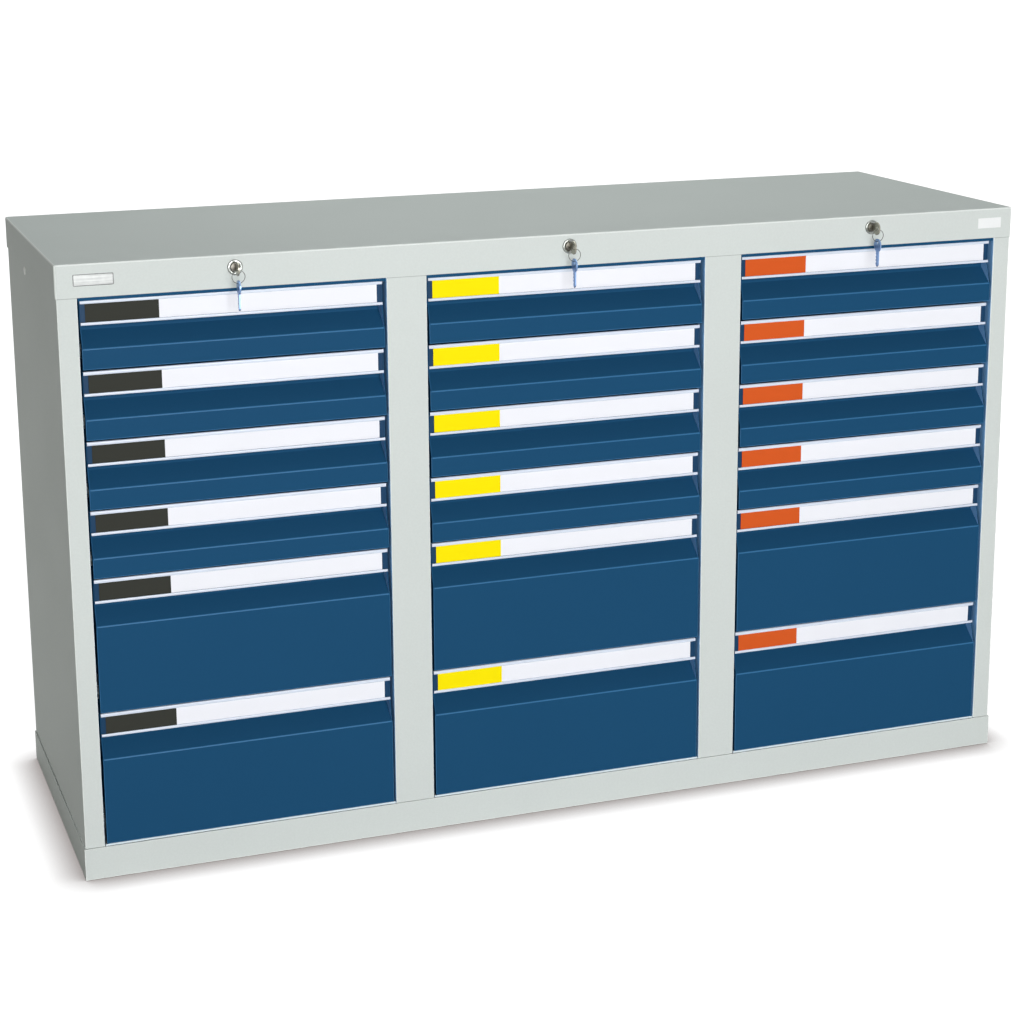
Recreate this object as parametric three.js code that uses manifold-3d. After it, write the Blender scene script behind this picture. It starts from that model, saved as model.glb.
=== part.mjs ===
// Workshop drawer cabinet: three columns of six roller drawers under a folded cap, on a plinth.
// Millimetres. Seen from the front, X runs to the right, Y into the cabinet and Z up.
// Each column has a cylinder lock whose cam lifts a hidden bar that hooks all six drawers.
import * as THREE from "three";
import { mergeVertices } from "three/addons/utils/BufferGeometryUtils.js";
import Module from "manifold-3d";

const wasm = await Module();
wasm.setup();

// Driving sizes of the cabinet
const COLUMN_COUNT = 3;
const COLUMN_WIDTH = 500;
const CABINET_DEPTH = 500;
const CABINET_HEIGHT = 900;
const ROW_PITCHES = [1, 1, 1, 1, 2, 2];
const STILE_WIDTH = 30;
const PLINTH_HEIGHT = 48;
const CAP_HEIGHT = 47;
const ROW_HEADROOM = 3;
const ROW_FOOTROOM = 2;

// Sheet, running clearance and the overrun of a cut
const SHEET = 1.5;
const FIT = 0.3;
const OVERRUN = 1;

// Cap
const CAP_CORNER_RADIUS = 4;
const CAP_EDGE_RADIUS = 2;
const CAP_EDGE_STEPS = 2;
const FASCIA_RETURN = 14;

// Posts, sides, back and plinth
const POST_DEPTH = 40;
const PLUG_HOLE_RADIUS = 4.5;
const PLUG_HOLE_SIDES = 16;
const PLUG_HOLE_SETBACK = 311;
const PLUG_HOLE_BELOW_CAP = 9;
const BACK_SHEET = 1.2;
const BACK_RETURN = 20;
const LEDGE_WIDTH = 12;
const LEDGE_SHEET = 1.5;
const FLOOR_SHEET = 1.5;
const FOOT_FLANGE = 25;
const FLAP_HEAD = 32;
const FLAP_FOOT = 18;
const FLAP_JOINT = 0.8;

// Runner channels and rollers, measured from the foot of a row and from the face of a post
const RUNNER_LIFT = 12;
const RUNNER_HEIGHT = 24;
const RUNNER_REACH = 12.5;
const RUNNER_FRONT = 34;
const RUNNER_BACK_GAP = 8;
const ROLLER_WIDTH = 8;
const ROLLER_STANDOFF = 1;
const ROLLER_SETBACK = 11;
const ROLLER_SIDES = 10;
const AXLE_RADIUS = 3;
const AXLE_SIDES = 6;

// Drawer front: depths are measured back from the front of the cap
const FRONT_SIDE_GAP = 3.5;
const FRONT_FOOT_GAP = 1.5;
const FRONT_HEAD_GAP = 2.5;
const FACE_SETBACK = 2;
const RECESS_SETBACK = 28;
const RECESS_DROP = 44;
const SLOPE_DROP = 67;
const FACE_RETURN = 12;

// Drawer pan
const PAN_SIDE_GAP = 15;
const PAN_LIFT = 6;
const PAN_HEAD_GAP = 24;
const PAN_BACK_GAP = 30;
const PAN_WALL = 1.2;
const PAN_HEM = 5;
const FLANGE_REACH = 10.5;

// Keeper behind each pan, caught by the hook of the lock bar
const KEEPER_WIDTH = 30;
const KEEPER_REACH = 8;
const KEEPER_DROP = 7;
const KEEPER_BELOW_RIM = 4;

// Clear label rail across the top of each front
const RAIL_SETBACK = 9.5;
const RAIL_HEIGHT = 35;
const RAIL_WALL = 0.9;
const RAIL_GROOVE = 1.2;
const RAIL_UPPER_LIP = 5;
const RAIL_LOWER_LIP = 4;
const RAIL_END_GAP = 1;

// Cylinder lock
const LOCK_BELOW_TOP = 18;
const LOCK_SIDES = 14;
const ROSETTE_RADIUS = 11;
const ROSETTE_THICKNESS = 2.5;
const ROSETTE_CHAMFER = 0.8;
const BARREL_RADIUS = 9;
const BARREL_LENGTH = 24;
const NUT_RADIUS = 12.5;
const NUT_THICKNESS = 4;
const PLUG_RADIUS = 6.5;
const PLUG_RECESS = 0.5;
const CAM_RADIUS = 9;
const CAM_THICKNESS = 2.5;
const PIN_THROW = 6;
const PIN_RADIUS = 2;
const PIN_SIDES = 10;
const PIN_PLAY = 0.5;

// Flat keys and their ring
const KEY_THICKNESS = 2.2;
const KEY_BOW_RADIUS = 10;
const KEY_BOW_STEPS = 9;
const KEY_HOLE_RADIUS = 2.5;
const KEY_HOLE_OFFSET = 4.5;
const KEY_HOLE_SIDES = 12;
const KEY_HOLE_PLAY = 0.5;
const KEY_BLADE_WIDTH = 7.6;
const KEY_BLADE_LENGTH = 24;
const KEY_TIP_LENGTH = 3;
const KEY_BIT_COUNT = 4;
const KEY_BIT_SHARES = [0.22, 0.34, 0.18, 0.28];
const KEY_STANDOFF = 16;
const RING_RADIUS = 9.2;
const RING_WIRE_RADIUS = 0.8;
const RING_STEPS = 20;
const WIRE_SIDES = 5;

// Lock bar: an arm over the drawers and a hooked bar behind them
const BAR_THICKNESS = 3;
const BAR_WIDTH = 12;
const BAR_BEHIND_PAN = 11;
const BAR_FOOT = 8;
const ARM_BELOW_SLOT = 2;
const ARM_HEIGHT = 12;
const FORK_GAP = 1.2;
const FORK_THICKNESS = 2.5;
const FORK_RIM = 4;
const HOOK_REACH = 8.5;
const HOOK_RISE = 6;
const HOOK_ARM = 4;
const HOOK_TIP = 2;
const GUIDE_DEPTH = 11;
const GUIDE_HEIGHT = 30;
const GUIDE_INSET = 90;

// Sizes that follow
const CABINET_WIDTH = COLUMN_COUNT * COLUMN_WIDTH;
const FASCIA_FOOT = CABINET_HEIGHT - CAP_HEIGHT;
const ROWS_HEIGHT = FASCIA_FOOT - ROW_HEADROOM - PLINTH_HEIGHT - ROW_FOOTROOM;
const ROW_PITCH = ROWS_HEIGHT / ROW_PITCHES.reduce((sum, pitches) => sum + pitches, 0);
const ROW_HEIGHTS = ROW_PITCHES.map((pitches) => pitches * ROW_PITCH);
const BODY_INSET = SHEET + FIT;
const BODY_FOOT = PLINTH_HEIGHT + FIT;
const BODY_TOP = CABINET_HEIGHT - SHEET - FIT;
const BACK_FACE = CABINET_DEPTH - BODY_INSET - SHEET - FIT;
const POST_BACK = BACK_FACE - BACK_SHEET - FIT;
const ROLLER_RADIUS = (RUNNER_HEIGHT - 3 * SHEET - 3 * FIT) / 2;
const ROLLER_LIFT = RUNNER_LIFT + SHEET + FIT + ROLLER_RADIUS;
const FLANGE_LIFT = ROLLER_LIFT + ROLLER_RADIUS + FIT;
const PAN_BACK = CABINET_DEPTH - PAN_BACK_GAP;
const RAIL_BACK = RAIL_SETBACK + RAIL_WALL + RAIL_GROOVE + RAIL_WALL;
const PULL_SETBACK = RAIL_BACK + FIT;
const LOCK_HEIGHT = CABINET_HEIGHT - LOCK_BELOW_TOP;
const PIN_OFFSET = PIN_THROW * Math.SQRT1_2;
const BAR_TRAVEL = 2 * PIN_OFFSET;
const CAM_FRONT = BARREL_LENGTH + FIT;
const CAM_BACK = CAM_FRONT + CAM_THICKNESS;
const FORK_FRONT = CAM_BACK + FORK_GAP;
const FORK_BACK = FORK_FRONT + FORK_THICKNESS;
const KEY_CENTRE = -KEY_STANDOFF;
const KEY_HOLE = KEY_CENTRE - KEY_HOLE_OFFSET;
const WIRE_OFFSET = KEY_HOLE_RADIUS - KEY_HOLE_PLAY - RING_WIRE_RADIUS;
const RING_CENTRE = LOCK_HEIGHT - WIRE_OFFSET - RING_RADIUS;
const SPARE_CENTRE = RING_CENTRE - RING_RADIUS - WIRE_OFFSET - KEY_HOLE_OFFSET;

// Turns a drawing in X and Y, thick along Z, into one in Y and Z, thick along X
const UPRIGHT = new THREE.Matrix4().makeBasis(
  new THREE.Vector3(0, 1, 0),
  new THREE.Vector3(0, 0, 1),
  new THREE.Vector3(1, 0, 0),
);

const paintedSteel = { color: 0xc9cdcd, roughness: 0.45, metalness: 0.1 };
const bluePaint = { color: 0x20506f, roughness: 0.42, metalness: 0.1 };
const clearPlastic = { color: 0xdfe8f6, roughness: 0.15, metalness: 0 };
const chrome = { color: 0xe4e4e2, roughness: 0.15, metalness: 1 };
const keySteel = { color: 0xbfc0bd, roughness: 0.25, metalness: 1 };
const zincSteel = { color: 0x9fa4a6, roughness: 0.4, metalness: 0.9 };

// Turns a closed geometry into a solid that can be joined and cut.
function solidOf(geometry) {
  const bare = geometry.clone();
  bare.deleteAttribute("normal");
  bare.deleteAttribute("uv");
  const merged = mergeVertices(bare);
  const vertProperties = new Float32Array(merged.attributes.position.array);
  const triVerts = new Uint32Array(merged.index.array);
  return new wasm.Manifold(new wasm.Mesh({ numProp: 3, vertProperties, triVerts }));
}

// Turns a solid back into a geometry that a mesh can hold.
function geometryOf(solid) {
  const mesh = solid.getMesh();
  const geometry = new THREE.BufferGeometry();
  geometry.setAttribute("position", new THREE.BufferAttribute(mesh.vertProperties, 3));
  geometry.setIndex(new THREE.BufferAttribute(mesh.triVerts, 1));
  geometry.computeVertexNormals();
  return geometry;
}

// Joins a list of solids into one.
function join(solids) {
  return solids.reduce((whole, piece) => whole.add(piece));
}

// Takes a list of solids out of one.
function cut(solid, tools) {
  return tools.reduce((rest, tool) => rest.subtract(tool), solid);
}

// A box between two limits on each axis.
function box([x0, x1], [y0, y1], [z0, z1]) {
  const geometry = new THREE.BoxGeometry(x1 - x0, y1 - y0, z1 - z0);
  geometry.translate((x0 + x1) / 2, (y0 + y1) / 2, (z0 + z1) / 2);
  return solidOf(geometry);
}

// The limits from one length to another either side of a plane that a sign turns.
function span(edge, outward, near, far) {
  const ends = [edge + outward * near, edge + outward * far];
  return ends.sort((a, b) => a - b);
}

// A shape from a list of points.
function shapeOf(points) {
  return new THREE.Shape(points.map(([u, v]) => new THREE.Vector2(u, v)));
}

// The outline of a folded sheet: its outer face follows the path, its thickness lies to the right.
function foldedSheet(path, thickness) {
  const normals = path.slice(1).map(([u, v], i) => {
    const length = Math.hypot(u - path[i][0], v - path[i][1]);
    return [(v - path[i][1]) / length, (path[i][0] - u) / length];
  });
  const inner = path.map(([u, v], i) => {
    const before = normals[Math.max(i - 1, 0)];
    const after = normals[Math.min(i, normals.length - 1)];
    const reach = thickness / (1 + before[0] * after[0] + before[1] * after[1]);
    return [u + reach * (before[0] + after[0]), v + reach * (before[1] + after[1])];
  });
  return shapeOf([...path, ...inner.reverse()]);
}

// A shape drawn in Y and Z, run along X between two limits.
function alongX(shape, [x0, x1]) {
  const geometry = new THREE.ExtrudeGeometry(shape, { depth: x1 - x0, bevelEnabled: false });
  geometry.applyMatrix4(UPRIGHT).translate(x0, 0, 0);
  return solidOf(geometry);
}

// A shape drawn in X and Z, run along Y between two limits.
function alongY(shape, [y0, y1]) {
  const geometry = new THREE.ExtrudeGeometry(shape, { depth: y1 - y0, bevelEnabled: false });
  geometry.rotateX(Math.PI / 2).translate(0, y1, 0);
  return solidOf(geometry);
}

// A round bar along X between two limits, centred at a depth and a height.
function roundAlongX(radius, sides, [x0, x1], y, z) {
  const geometry = new THREE.CylinderGeometry(radius, radius, x1 - x0, sides);
  geometry.rotateZ(Math.PI / 2).translate((x0 + x1) / 2, y, z);
  return solidOf(geometry);
}

// A round bar along Y between two limits, centred across the width and at a height.
function roundAlongY(radius, sides, x, [y0, y1], z) {
  const geometry = new THREE.CylinderGeometry(radius, radius, y1 - y0, sides);
  geometry.translate(x, (y0 + y1) / 2, z);
  return solidOf(geometry);
}

// A hollow square post standing between the plinth and the cap.
function post([x0, x1], [y0, y1]) {
  const skin = box([x0, x1], [y0, y1], [BODY_FOOT, BODY_TOP]);
  const bore = box(
    [x0 + SHEET, x1 - SHEET],
    [y0 + SHEET, y1 - SHEET],
    [BODY_FOOT - OVERRUN, BODY_TOP + OVERRUN],
  );
  return skin.subtract(bore);
}

// The heights at which the rows stand, from the top row down.
function rowFeet() {
  let foot = FASCIA_FOOT - ROW_HEADROOM;
  return ROW_HEIGHTS.map((height) => {
    foot -= height;
    return foot;
  });
}

// Runner channels for every row on one face of a post, each with its front roller.
function runners(edge, outward) {
  const length = [RUNNER_FRONT, CABINET_DEPTH - RUNNER_BACK_GAP];
  const rollerDepth = RUNNER_FRONT + ROLLER_SETBACK;
  return rowFeet().flatMap((foot) => {
    const low = foot + RUNNER_LIFT;
    const high = low + RUNNER_HEIGHT;
    const tip = edge + outward * RUNNER_REACH;
    const path = [[tip, high], [edge, high], [edge, low], [tip, low]];
    const channel = foldedSheet(path, -outward * SHEET);
    const near = SHEET + ROLLER_STANDOFF;
    const axle = span(edge, outward, SHEET / 2, near + ROLLER_WIDTH / 2);
    const wheel = span(edge, outward, near, near + ROLLER_WIDTH);
    return [
      alongY(channel, length),
      roundAlongX(AXLE_RADIUS, AXLE_SIDES, axle, rollerDepth, foot + ROLLER_LIFT),
      roundAlongX(ROLLER_RADIUS, ROLLER_SIDES, wheel, rollerDepth, foot + ROLLER_LIFT),
    ];
  });
}

// Folded cap with its fascia, the returns over the openings and the lock bores.
function cap() {
  const r = CAP_CORNER_RADIUS;
  const bevel = CAP_EDGE_RADIUS;
  const outline = new THREE.Shape();
  outline.absarc(CABINET_WIDTH - r, r, r, -Math.PI / 2, 0);
  outline.absarc(CABINET_WIDTH - r, CABINET_DEPTH - r, r, 0, Math.PI / 2);
  outline.absarc(r, CABINET_DEPTH - r, r, Math.PI / 2, Math.PI);
  outline.absarc(r, r, r, Math.PI, Math.PI * 1.5);
  const block = new THREE.ExtrudeGeometry(outline, {
    depth: CAP_HEIGHT,
    curveSegments: CAP_EDGE_STEPS,
    bevelThickness: bevel,
    bevelSize: bevel,
    bevelOffset: -bevel,
    bevelSegments: CAP_EDGE_STEPS,
  });
  block.translate(0, 0, FASCIA_FOOT - bevel);
  const across = [SHEET, CABINET_WIDTH - SHEET];
  const deep = [SHEET, CABINET_DEPTH - SHEET];
  const pan = cut(solidOf(block), [
    box([-OVERRUN, CABINET_WIDTH + OVERRUN], [-OVERRUN, CABINET_DEPTH + OVERRUN],
      [FASCIA_FOOT - 2 * bevel - OVERRUN, FASCIA_FOOT]),
    box(across, deep, [FASCIA_FOOT - OVERRUN, CABINET_HEIGHT - SHEET]),
  ]);
  const returns = columns().map((left) => box(
    [left + STILE_WIDTH + FIT, left + COLUMN_WIDTH - STILE_WIDTH - FIT],
    [SHEET / 2, FASCIA_RETURN],
    [FASCIA_FOOT, FASCIA_FOOT + SHEET],
  ));
  const bores = columns().map((left) => roundAlongY(
    BARREL_RADIUS + FIT,
    LOCK_SIDES,
    left + COLUMN_WIDTH / 2,
    [-OVERRUN, SHEET + OVERRUN],
    LOCK_HEIGHT,
  ));
  return cut(join([pan, ...returns]), bores);
}

// The left limits of the columns.
function columns() {
  return Array.from({ length: COLUMN_COUNT }, (_, column) => column * COLUMN_WIDTH);
}

// Outer side wall with its stile, rear post, runners and plug hole, its face at X = 0.
// Inward is 1 or -1, the way from that face to the drawers.
function sidePanel(inward) {
  const skinSpan = span(0, inward, BODY_INSET, BODY_INSET + SHEET);
  const hole = roundAlongX(
    PLUG_HOLE_RADIUS,
    PLUG_HOLE_SIDES,
    span(0, inward, BODY_INSET - OVERRUN, BODY_INSET + SHEET + OVERRUN),
    PLUG_HOLE_SETBACK,
    FASCIA_FOOT - PLUG_HOLE_BELOW_CAP,
  );
  const postSpan = span(0, inward, BODY_INSET, STILE_WIDTH);
  const back = CABINET_DEPTH - BODY_INSET;
  const panel = join([
    post(postSpan, [BODY_INSET, BODY_INSET + POST_DEPTH]),
    post(postSpan, [POST_BACK - POST_DEPTH, POST_BACK]),
    box(skinSpan, [BODY_INSET, back], [BODY_FOOT, BODY_TOP]),
    box(span(0, inward, BODY_INSET, BACK_RETURN), [back - SHEET, back], [BODY_FOOT, BODY_TOP]),
    ...runners(inward * STILE_WIDTH, inward),
  ]);
  return cut(panel, [hole]);
}

// Partition between two columns: two posts, a web and runners on both faces.
function divider(middle) {
  const postSpan = [middle - STILE_WIDTH, middle + STILE_WIDTH];
  const frontBack = BODY_INSET + POST_DEPTH;
  return join([
    post(postSpan, [BODY_INSET, frontBack]),
    post(postSpan, [POST_BACK - POST_DEPTH, POST_BACK]),
    box(
      [middle - SHEET / 2, middle + SHEET / 2],
      [frontBack - SHEET / 2, POST_BACK - POST_DEPTH + SHEET / 2],
      [BODY_FOOT, BODY_TOP],
    ),
    ...runners(middle - STILE_WIDTH, -1),
    ...runners(middle + STILE_WIDTH, 1),
  ]);
}

// Back sheet with the cheeks that guide each lock bar.
function backPanel() {
  const inset = BODY_INSET + SHEET + FIT;
  const sheet = box([inset, CABINET_WIDTH - inset], [BACK_FACE - BACK_SHEET, BACK_FACE],
    [BODY_FOOT, BODY_TOP]);
  const feet = [BODY_FOOT + GUIDE_INSET, FASCIA_FOOT - GUIDE_INSET - GUIDE_HEIGHT];
  const cheeks = columns().flatMap((left) => feet.flatMap((foot) => [-1, 1].map((side) => box(
    span(left + COLUMN_WIDTH / 2, side, BAR_THICKNESS / 2 + FIT, BAR_THICKNESS / 2 + FIT + SHEET),
    [BACK_FACE - BACK_SHEET - GUIDE_DEPTH, BACK_FACE - BACK_SHEET / 2],
    [foot, foot + GUIDE_HEIGHT],
  ))));
  return join([sheet, ...cheeks]);
}

// Floor sheet that lies on the ledge of the plinth.
function floorPanel() {
  const inset = SHEET + FIT;
  const top = PLINTH_HEIGHT - FIT;
  return box([inset, CABINET_WIDTH - inset], [inset, CABINET_DEPTH - inset], [top - FLOOR_SHEET, top]);
}

// Plinth ring: a channel section with a ledge under the floor sheet and a flange on the ground.
// A slanting joint on each side shows where the end flap of the front sheet laps over.
function plinth() {
  const ring = (inset, z0, z1) => box(
    [inset, CABINET_WIDTH - inset],
    [inset, CABINET_DEPTH - inset],
    [z0, z1],
  );
  const joint = shapeOf([
    [FLAP_FOOT, -OVERRUN],
    [FLAP_FOOT + FLAP_JOINT, -OVERRUN],
    [FLAP_HEAD + FLAP_JOINT, PLINTH_HEIGHT + OVERRUN],
    [FLAP_HEAD, PLINTH_HEIGHT + OVERRUN],
  ]);
  const ledgeTop = PLINTH_HEIGHT - FIT - FLOOR_SHEET - FIT;
  const ledgeFoot = ledgeTop - LEDGE_SHEET;
  return cut(ring(0, 0, PLINTH_HEIGHT), [
    ring(SHEET, ledgeTop, PLINTH_HEIGHT + OVERRUN),
    ring(SHEET, SHEET, ledgeFoot),
    ring(SHEET + LEDGE_WIDTH, SHEET, PLINTH_HEIGHT),
    ring(SHEET + FOOT_FLANGE, -OVERRUN, PLINTH_HEIGHT),
    alongX(joint, [-OVERRUN, SHEET / 2]),
    alongX(joint, [CABINET_WIDTH - SHEET / 2, CABINET_WIDTH + OVERRUN]),
  ]);
}

// Drawer pan with its folded front, runner flanges, rear rollers and keeper, for one row height.
function drawerPan(rowHeight) {
  const frontSpan = [STILE_WIDTH + FRONT_SIDE_GAP, COLUMN_WIDTH - STILE_WIDTH - FRONT_SIDE_GAP];
  const panLeft = STILE_WIDTH + PAN_SIDE_GAP;
  const panRight = COLUMN_WIDTH - panLeft;
  const rim = rowHeight - PAN_HEAD_GAP;
  const tray = cut(box([panLeft, panRight], [RECESS_SETBACK, PAN_BACK], [PAN_LIFT, rim]), [
    box(
      [panLeft + PAN_WALL, panRight - PAN_WALL],
      [RECESS_SETBACK + SHEET, PAN_BACK - PAN_WALL],
      [PAN_LIFT + PAN_WALL, rim + OVERRUN],
    ),
  ]);
  const hardware = [1, -1].flatMap((outward) => drawerSide(outward > 0 ? panLeft : panRight, outward, rim));
  return join([
    tray,
    alongX(frontOutline(rowHeight), frontSpan),
    ...frontCheeks(rowHeight, frontSpan),
    ...hardware,
    keeper(rim),
  ]);
}

// Section of a drawer front: pull, top flange, recess wall, slope, face and foot return.
function frontOutline(rowHeight) {
  const top = rowHeight - FRONT_HEAD_GAP;
  return foldedSheet([
    [PULL_SETBACK + SHEET, top - RAIL_HEIGHT],
    [PULL_SETBACK + SHEET, top - SHEET],
    [RECESS_SETBACK, top - SHEET],
    [RECESS_SETBACK, top - RECESS_DROP],
    [FACE_SETBACK, top - SLOPE_DROP],
    [FACE_SETBACK, FRONT_FOOT_GAP],
    [FACE_RETURN, FRONT_FOOT_GAP],
  ], -SHEET);
}

// Cheeks that close the two ends of a drawer front, cut to its section.
function frontCheeks(rowHeight, [left, right]) {
  const top = rowHeight - FRONT_HEAD_GAP;
  const outline = shapeOf([
    [FACE_SETBACK, FRONT_FOOT_GAP],
    [FACE_RETURN, FRONT_FOOT_GAP],
    [FACE_RETURN, top - SLOPE_DROP],
    [RECESS_SETBACK + SHEET, top - RECESS_DROP - SHEET],
    [RECESS_SETBACK + SHEET, top],
    [PULL_SETBACK, top],
    [PULL_SETBACK, top - RAIL_HEIGHT],
    [FACE_SETBACK, top - SLOPE_DROP],
  ].reverse());
  return [alongX(outline, [left, left + SHEET]), alongX(outline, [right - SHEET, right])];
}

// Runner flange, rim hem and rear roller on one side of a pan.
function drawerSide(edge, outward, rim) {
  const rollerDepth = PAN_BACK - ROLLER_SETBACK - ROLLER_RADIUS;
  const rollerSpan = [ROLLER_STANDOFF + SHEET, ROLLER_STANDOFF + SHEET + ROLLER_WIDTH];
  return [
    box(
      span(edge, -outward, -PAN_WALL / 2, FLANGE_REACH),
      [RUNNER_FRONT + SHEET, PAN_BACK],
      [FLANGE_LIFT, FLANGE_LIFT + SHEET],
    ),
    box(
      span(edge, -outward, -PAN_WALL / 2, PAN_HEM),
      [RUNNER_FRONT + SHEET, PAN_BACK],
      [rim - SHEET, rim],
    ),
    roundAlongX(AXLE_RADIUS, AXLE_SIDES, span(edge, -outward, -PAN_WALL / 2, rollerSpan[1] / 2),
      rollerDepth, ROLLER_LIFT),
    roundAlongX(ROLLER_RADIUS, ROLLER_SIDES, span(edge, -outward, ...rollerSpan),
      rollerDepth, ROLLER_LIFT),
  ];
}

// Down-turned lip on the back of a pan.
function keeper(rim) {
  const top = rim - KEEPER_BELOW_RIM;
  const outline = foldedSheet([
    [PAN_BACK - PAN_WALL / 2, top],
    [PAN_BACK + KEEPER_REACH, top],
    [PAN_BACK + KEEPER_REACH, top - KEEPER_DROP],
  ], SHEET);
  const middle = COLUMN_WIDTH / 2;
  return alongX(outline, [middle - KEEPER_WIDTH / 2, middle + KEEPER_WIDTH / 2]);
}

// Clear label rail: a back wall with an upper and a lower lip that hold a label strip.
function labelRail() {
  const front = RAIL_SETBACK;
  const groove = front + RAIL_WALL;
  const wall = groove + RAIL_GROOVE;
  const outline = shapeOf([
    [RAIL_BACK, 0],
    [front, 0],
    [front, -RAIL_UPPER_LIP],
    [groove, -RAIL_UPPER_LIP],
    [groove, -RAIL_WALL],
    [wall, -RAIL_WALL],
    [wall, RAIL_WALL - RAIL_HEIGHT],
    [groove, RAIL_WALL - RAIL_HEIGHT],
    [groove, RAIL_LOWER_LIP - RAIL_HEIGHT],
    [front, RAIL_LOWER_LIP - RAIL_HEIGHT],
    [front, -RAIL_HEIGHT],
    [RAIL_BACK, -RAIL_HEIGHT],
  ]);
  const end = STILE_WIDTH + FRONT_SIDE_GAP + RAIL_END_GAP;
  return alongX(outline, [end, COLUMN_WIDTH - end]);
}

// A solid of revolution about Y from a profile of radii and depths.
function turned(profile) {
  return solidOf(new THREE.LatheGeometry(profile.map(([r, y]) => new THREE.Vector2(r, y)), LOCK_SIDES));
}

// Fixed body of a lock: rosette, barrel and nut round an open bore.
function lockCylinder() {
  const bore = PLUG_RADIUS + FIT;
  const face = -FIT - ROSETTE_THICKNESS;
  const nutFront = SHEET + FIT;
  return turned([
    [bore, face],
    [ROSETTE_RADIUS - ROSETTE_CHAMFER, face],
    [ROSETTE_RADIUS, face + ROSETTE_CHAMFER],
    [ROSETTE_RADIUS, -FIT],
    [BARREL_RADIUS, -FIT],
    [BARREL_RADIUS, nutFront],
    [NUT_RADIUS, nutFront],
    [NUT_RADIUS, nutFront + NUT_THICKNESS],
    [BARREL_RADIUS, nutFront + NUT_THICKNESS],
    [BARREL_RADIUS, BARREL_LENGTH],
    [bore, BARREL_LENGTH],
    [bore, face],
  ]);
}

// Flat key hanging in Y and Z: round bow with a hole near its top, blade with bits and a tip.
function keyPlate(bladeLength, bitCount) {
  const half = KEY_BLADE_WIDTH / 2;
  const neck = Math.asin(half / KEY_BOW_RADIUS);
  const points = Array.from({ length: KEY_BOW_STEPS + 1 }, (_, step) => {
    const angle = neck + (step / KEY_BOW_STEPS) * 2 * (Math.PI - neck);
    return [KEY_BOW_RADIUS * Math.sin(angle), -KEY_BOW_RADIUS * Math.cos(angle)];
  });
  const tip = -KEY_BOW_RADIUS * Math.cos(neck) - bladeLength;
  const bitsFoot = tip + KEY_TIP_LENGTH;
  points.push([-half, bitsFoot], [0, tip], [half, bitsFoot]);
  const pitch = (bladeLength - KEY_TIP_LENGTH) / (bitCount + 1);
  for (let bit = 0; bit < bitCount; bit += 1) {
    const foot = bitsFoot + bit * pitch;
    const depth = KEY_BLADE_WIDTH * KEY_BIT_SHARES[bit % KEY_BIT_SHARES.length];
    points.push([half - depth, foot + pitch / 2], [half, foot + pitch]);
  }
  const shape = shapeOf(points);
  const hole = new THREE.Path();
  for (let side = 0; side < KEY_HOLE_SIDES; side += 1) {
    const angle = (side / KEY_HOLE_SIDES) * 2 * Math.PI;
    const point = [
      KEY_HOLE_RADIUS * Math.sin(angle),
      KEY_HOLE_OFFSET - KEY_HOLE_RADIUS * Math.cos(angle),
    ];
    if (side === 0) hole.moveTo(...point);
    else hole.lineTo(...point);
  }
  hole.closePath();
  shape.holes.push(hole);
  const geometry = new THREE.ExtrudeGeometry(shape, { depth: KEY_THICKNESS, bevelEnabled: false });
  return geometry.translate(0, 0, -KEY_THICKNESS / 2).applyMatrix4(UPRIGHT);
}

// Turning part of a lock: plug, cam with its eccentric pin, and the key that sits in the plug.
function lockKey() {
  const face = -FIT - ROSETTE_THICKNESS + PLUG_RECESS;
  const plug = turned([
    [0, face],
    [PLUG_RADIUS, face],
    [PLUG_RADIUS, CAM_FRONT],
    [CAM_RADIUS, CAM_FRONT],
    [CAM_RADIUS, CAM_BACK],
    [0, CAM_BACK],
  ]);
  const pin = roundAlongY(PIN_RADIUS, PIN_SIDES, -PIN_OFFSET,
    [CAM_BACK - CAM_THICKNESS / 2, FORK_BACK + FORK_GAP], -PIN_OFFSET);
  const key = keyPlate(KEY_STANDOFF, 0).rotateX(Math.PI / 2).translate(0, KEY_CENTRE, 0);
  return join([plug, pin, solidOf(key)]);
}

// Wire ring that hangs in the hole of the key, facing the front.
function keyRing() {
  const ring = new THREE.TorusGeometry(RING_RADIUS, RING_WIRE_RADIUS, WIRE_SIDES, RING_STEPS);
  return solidOf(ring.rotateX(Math.PI / 2));
}

// Second key, hanging from the ring.
function spareKey() {
  return solidOf(keyPlate(KEY_BLADE_LENGTH, KEY_BIT_COUNT));
}

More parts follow.
